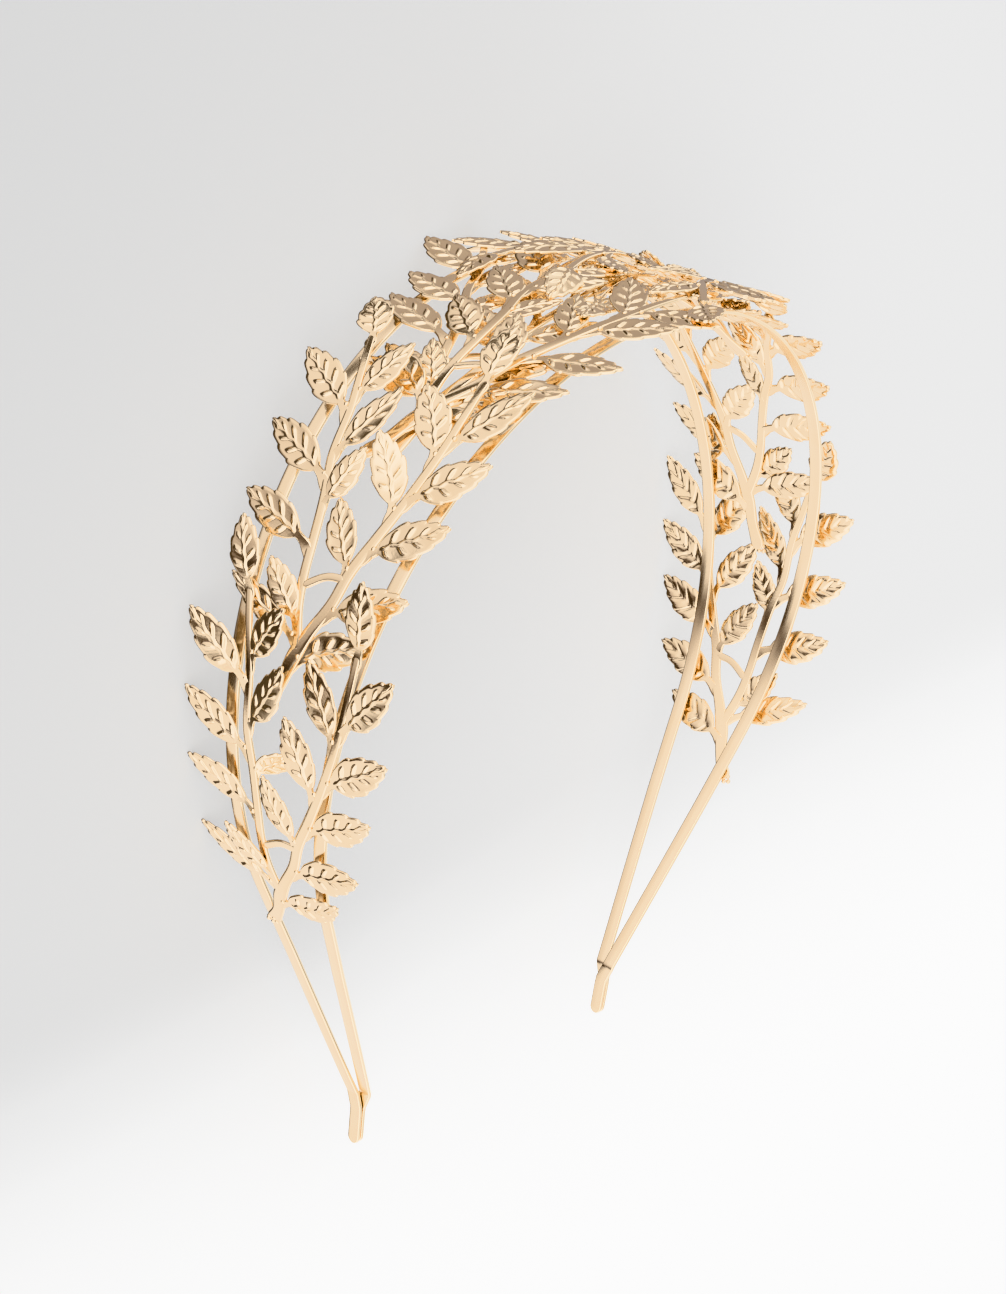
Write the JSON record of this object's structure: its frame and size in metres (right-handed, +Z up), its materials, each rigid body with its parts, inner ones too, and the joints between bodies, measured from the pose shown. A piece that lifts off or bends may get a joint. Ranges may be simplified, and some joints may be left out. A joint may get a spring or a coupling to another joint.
{
  "type": "vine headband",
  "caption": "Arched metal headband of two thin bands joined at their ends and overlaid with pressed leafy vine sprigs, lying on its side.",
  "frame": {"origin": "centre of the box around the headband, at the height of the surface that its leaf tips rest on", "axes": "+X from the left leg to the right leg, +Y from the two ends to the top of the arch, +Z up from the surface; the arch lies on its back edge"},
  "size_m": [0.1344, 0.1508, 0.0587],
  "materials": {
    "band_metal": "pale gold plate, faintly brushed along the band",
    "sprig_metal": "pale gold plate, polished, pressed veins"
  },
  "bodies": {
    "root": {"front_band": "band_metal", "back_band": "band_metal", "left_low_sprig": "sprig_metal", "left_mid_sprig": "sprig_metal", "left_top_sprig": "sprig_metal", "left_crown_sprig": "sprig_metal", "right_low_sprig": "sprig_metal", "right_mid_sprig": "sprig_metal", "right_top_sprig": "sprig_metal", "right_crown_sprig": "sprig_metal"}
  },
  "joints": []
}
